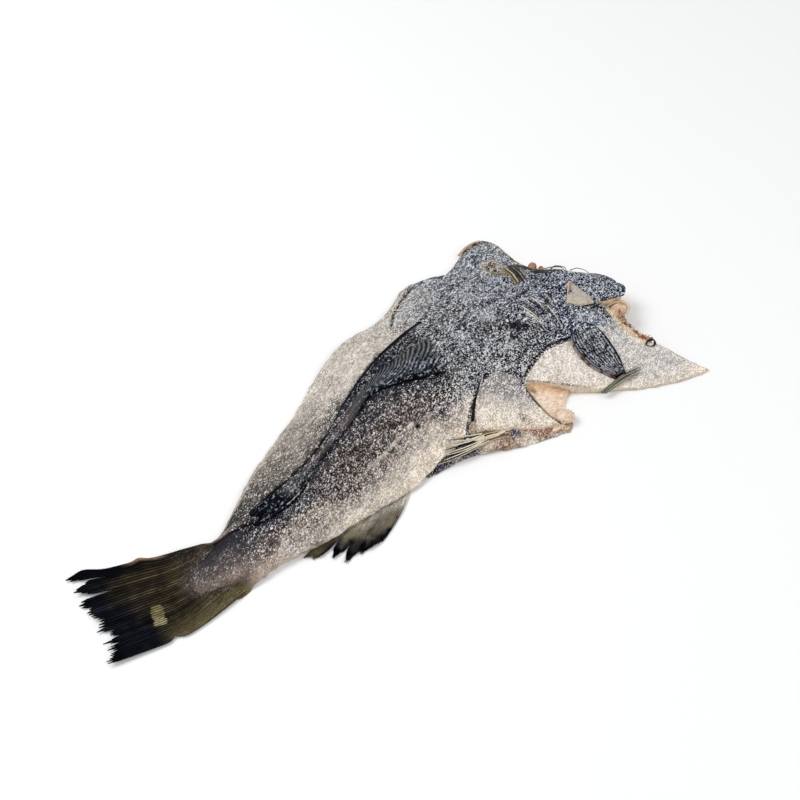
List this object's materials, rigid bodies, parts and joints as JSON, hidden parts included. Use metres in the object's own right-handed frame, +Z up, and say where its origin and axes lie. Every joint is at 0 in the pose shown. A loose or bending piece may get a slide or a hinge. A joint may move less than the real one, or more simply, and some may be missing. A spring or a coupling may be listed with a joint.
{
  "type": "dried split cod (stockfish)",
  "caption": "Whole dried cod, split along the belly and opened flat, headless, lying skin side up with its tail and folded fins.",
  "frame": {"origin": "on the surface the fish lies on, under the middle of its bounding box", "axes": "+X from the tail fin towards the shoulders, +Y from the belly side with the anal fins towards the other flank, +Z up out of the skin"},
  "size_m": [0.6598, 0.286, 0.043],
  "materials": {
    "skin": "dry, salt-speckled grey skin, dark on the back and pale on the flanks",
    "fin": "dry dark fin membrane over straw-coloured rays",
    "flesh": "hard dried cream to peach flesh",
    "salt": "small white salt grains"
  },
  "bodies": {
    "root": {"stockfish": "skin"}
  },
  "joints": []
}
